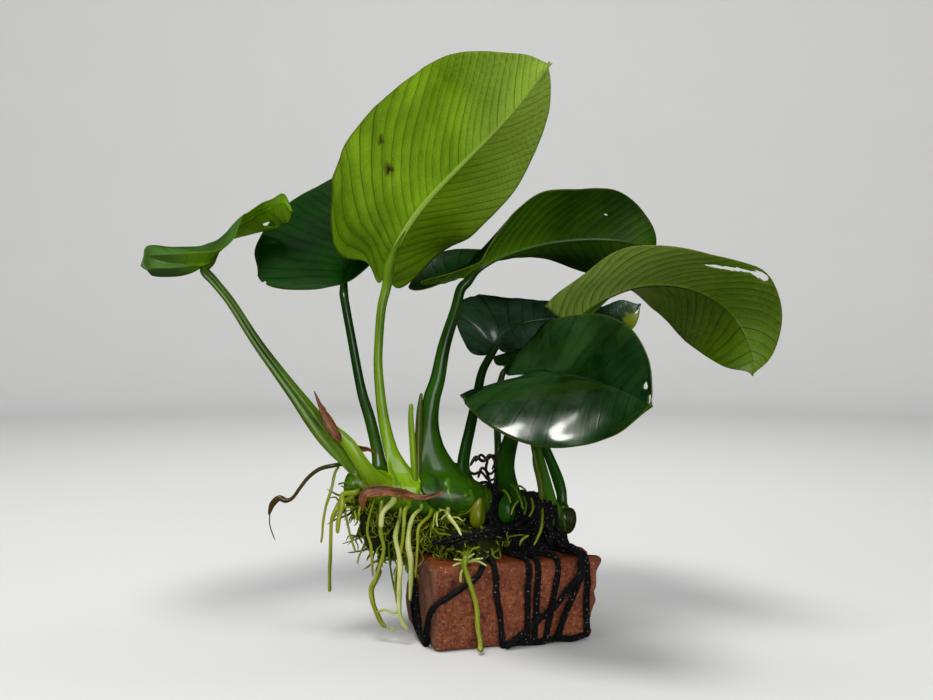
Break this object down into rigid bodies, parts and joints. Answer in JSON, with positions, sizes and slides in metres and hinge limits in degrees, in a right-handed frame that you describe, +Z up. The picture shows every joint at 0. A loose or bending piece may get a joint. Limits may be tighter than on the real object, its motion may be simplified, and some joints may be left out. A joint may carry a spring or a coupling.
{
  "type": "plant",
  "caption": "Broad-leaved water plant whose creeping green stem is tied with black yarn to a broken piece of red brick, with moss between them and roots hanging over the edge",
  "frame": {"origin": "centre of the stone's flat underside", "axes": "+Z up; +X to the right and +Y away from the viewer as the plant faces the front; the stone is turned 17 degrees about Z, its right end away"},
  "size_m": [0.2301, 0.1508, 0.2023],
  "materials": {
    "brick": "rough fired clay, pitted, with dark and light grains",
    "rhizome": "smooth green skin with ring scars, brown at the old end",
    "blade": "waxy leaf, dark green and glossy above, yellow-green and satin below",
    "stalk": "smooth satin green",
    "shoot": "smooth pale green",
    "root": "smooth, moist, green to cream",
    "dried_leaf": "dry, matt brown",
    "moss": "fine, moist, yellow-green",
    "yarn": "matt black wool-like yarn, moist"
  },
  "bodies": {
    "root": {"stone": "brick", "rhizome": "rhizome", "far_left_blade": "blade", "far_left_stalk": "stalk", "back_left_blade": "blade", "back_left_stalk": "stalk", "tall_blade": "blade", "tall_stalk": "stalk", "arching_blade": "blade", "arching_stalk": "stalk", "centre_dark_blade": "blade", "centre_dark_stalk": "stalk", "small_middle_blade": "blade", "small_middle_stalk": "stalk", "front_glossy_blade": "blade", "front_glossy_stalk": "stalk", "right_drooping_blade": "blade", "right_drooping_stalk": "stalk", "spent_stalk": "stalk", "spindle_bud": "shoot", "sheath_arching": "shoot", "sheath_split": "shoot", "sheath_right": "shoot", "yellow_bud": "shoot", "green_bud": "shoot", "dying_stalk": "dried_leaf", "root_01": "root", "root_02": "root", "root_03": "root", "root_04": "root", "root_05": "root", "root_06": "root", "root_07": "root", "root_08": "root", "root_09": "root", "root_10": "root", "root_11": "root", "root_12": "root", "root_13": "root", "root_14": "root", "root_15": "root", "root_16": "root", "dried_scale_front": "dried_leaf", "dried_scale_bud": "dried_leaf", "moss": "moss", "tie_windings": "yarn", "tie_wrap": "yarn", "tie_front_1": "yarn", "tie_front_2": "yarn", "tie_front_3": "yarn", "tie_front_4": "yarn", "tie_front_5": "yarn", "tie_back_1": "yarn", "tie_back_2": "yarn", "tie_back_3": "yarn", "tie_front_left": "yarn", "tie_front_cross": "yarn", "tie_front_slant": "yarn", "tie_left": "yarn"}
  },
  "joints": []
}
